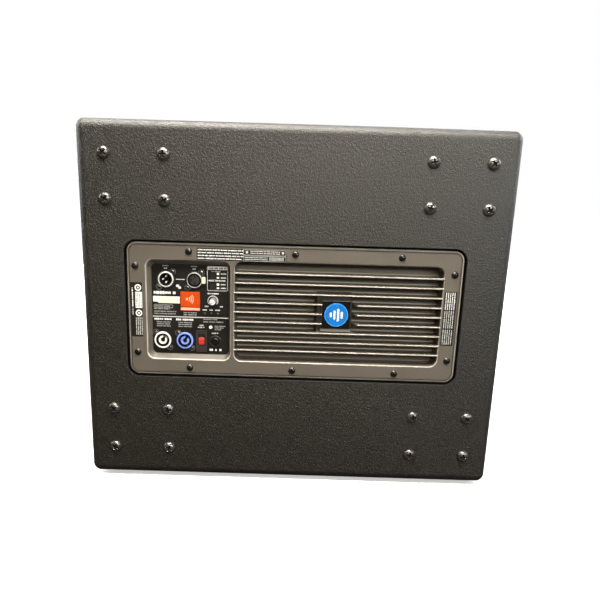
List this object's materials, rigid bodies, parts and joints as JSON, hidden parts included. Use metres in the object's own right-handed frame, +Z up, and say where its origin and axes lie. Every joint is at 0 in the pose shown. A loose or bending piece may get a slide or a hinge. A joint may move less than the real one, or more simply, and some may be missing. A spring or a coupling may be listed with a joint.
{
  "type": "powered subwoofer cabinet",
  "caption": "Portable powered bass cabinet with a finned plate amplifier, socket and control pocket, side handles, pole socket and a reflex woofer behind a steel grille.",
  "frame": {"origin": "on the floor under the middle of the bounding box, level with the soles of the feet", "axes": "+Z up, -Y out of the grille, +Y out of the amplifier panel, +X to the right of someone facing the grille"},
  "size_m": [0.597, 0.7544, 0.513],
  "materials": {
    "coat": "plywood under a hard textured charcoal coat",
    "plywood": "birch plywood",
    "black_steel": "glossy black zinc",
    "zinc_steel": "zinc plated",
    "rubber": "moulded rubber",
    "black_plastic": "fine grain",
    "black_metal": "matt powder coat",
    "foam": "open cell foam",
    "cast_aluminium": "black painted casting",
    "cone_paper": "treated paper pulp",
    "copper_coil": "enamelled copper",
    "spider_cloth": "impregnated cloth",
    "ferrite": "sintered ferrite",
    "red_plastic": "moulded",
    "cable_sheath": "soft sheath",
    "taupe_casting": "warm grey powder coat",
    "gloss_black": "polished",
    "badge_blue": "domed print",
    "badge_orange": "printed plate",
    "overlay_black": "screen printed",
    "nickel": "satin nickel",
    "grey_plastic": "moulded",
    "cream_plastic": "moulded",
    "white_plastic": "moulded",
    "blue_plastic": "moulded",
    "led_lens": "diffused lens",
    "dark_grey_plastic": "moulded",
    "board_green": "solder mask"
  },
  "bodies": {
    "cabinet": {"rear_panel": "coat", "top_panel": "coat", "bottom_panel": "coat", "left_side_panel": "coat", "right_side_panel": "coat", "front_baffle": "coat", "window_brace": "plywood", "amp_chamber": "plywood", "grille_battens": "coat", "caster_point_screws": "black_steel", "caster_tee_nuts": "zinc_steel", "rubber_feet": "rubber", "fitting_screws": "black_steel", "left_handle_cup": "black_plastic", "right_handle_cup": "black_plastic", "pole_socket": "black_metal", "front_grille": "black_metal", "grille_foam": "foam", "port_tubes": "black_plastic", "woofer_basket": "cast_aluminium", "woofer_surround": "rubber", "woofer_spider": "spider_cloth", "woofer_top_plate": "zinc_steel", "woofer_magnet": "ferrite", "woofer_yoke": "zinc_steel", "woofer_screws": "black_steel", "woofer_terminals": "red_plastic", "speaker_cable": "cable_sheath", "amp_chassis": "taupe_casting", "amp_gasket": "rubber", "amp_screws": "black_steel", "badge_plate": "gloss_black", "badge_disc": "badge_blue", "name_badge": "badge_orange", "control_overlay": "overlay_black", "connector_flanges": "black_plastic", "connector_screws": "black_steel", "xlr_output_shell": "nickel", "xlr_output_pins": "nickel", "xlr_input_shell": "nickel", "xlr_input_insert": "grey_plastic", "mains_output_socket": "white_plastic", "mains_input_socket": "blue_plastic", "selector_switch_bodies": "black_plastic", "level_potentiometer": "zinc_steel", "status_leds": "led_lens", "voltage_selector_body": "dark_grey_plastic", "breaker_body": "black_plastic", "input_board": "board_green", "power_board": "board_green", "power_transformer": "copper_coil"},
    "cone_assembly": {"woofer_cone": "cone_paper", "dust_cap": "cone_paper", "voice_coil": "copper_coil"},
    "level_knob": {"level_knob": "gloss_black"},
    "upper_selector_button": {"upper_selector_button": "black_plastic"},
    "lower_selector_button": {"lower_selector_button": "black_plastic"},
    "voltage_slider": {"voltage_selector_slider": "red_plastic"},
    "breaker_button": {"breaker_button": "gloss_black"},
    "xlr_latch": {"xlr_latch_tab": "cream_plastic"}
  },
  "joints": [
    {"name": "cone_travel", "type": "slide", "parent": "cabinet", "child": "cone_assembly", "axis": [0, -1, 0], "range_m": [-0.012, 0.012], "stiffness_N_per_m": 7000, "deforming": ["woofer_surround", "woofer_spider"]},
    {"name": "level_turn", "type": "hinge", "parent": "cabinet", "child": "level_knob", "pos_m": [0.1151, 0.36675, 0.2718], "axis": [0, -1, 0], "range_deg": [0, 300]},
    {"name": "upper_selector_press", "type": "slide", "parent": "cabinet", "child": "upper_selector_button", "axis": [0, -1, 0], "range_m": [0, 0.0025], "stiffness_N_per_m": 400},
    {"name": "lower_selector_press", "type": "slide", "parent": "cabinet", "child": "lower_selector_button", "axis": [0, -1, 0], "range_m": [0, 0.0025], "stiffness_N_per_m": 400},
    {"name": "voltage_select", "type": "slide", "parent": "cabinet", "child": "voltage_slider", "axis": [0, 0, 1], "range_m": [0, 0.0046]},
    {"name": "breaker_trip", "type": "slide", "parent": "cabinet", "child": "breaker_button", "axis": [0, 1, 0], "range_m": [0, 0.003]},
    {"name": "xlr_latch_press", "type": "slide", "parent": "cabinet", "child": "xlr_latch", "axis": [0, -1, 0], "range_m": [0, 0.0022], "stiffness_N_per_m": 400}
  ]
}
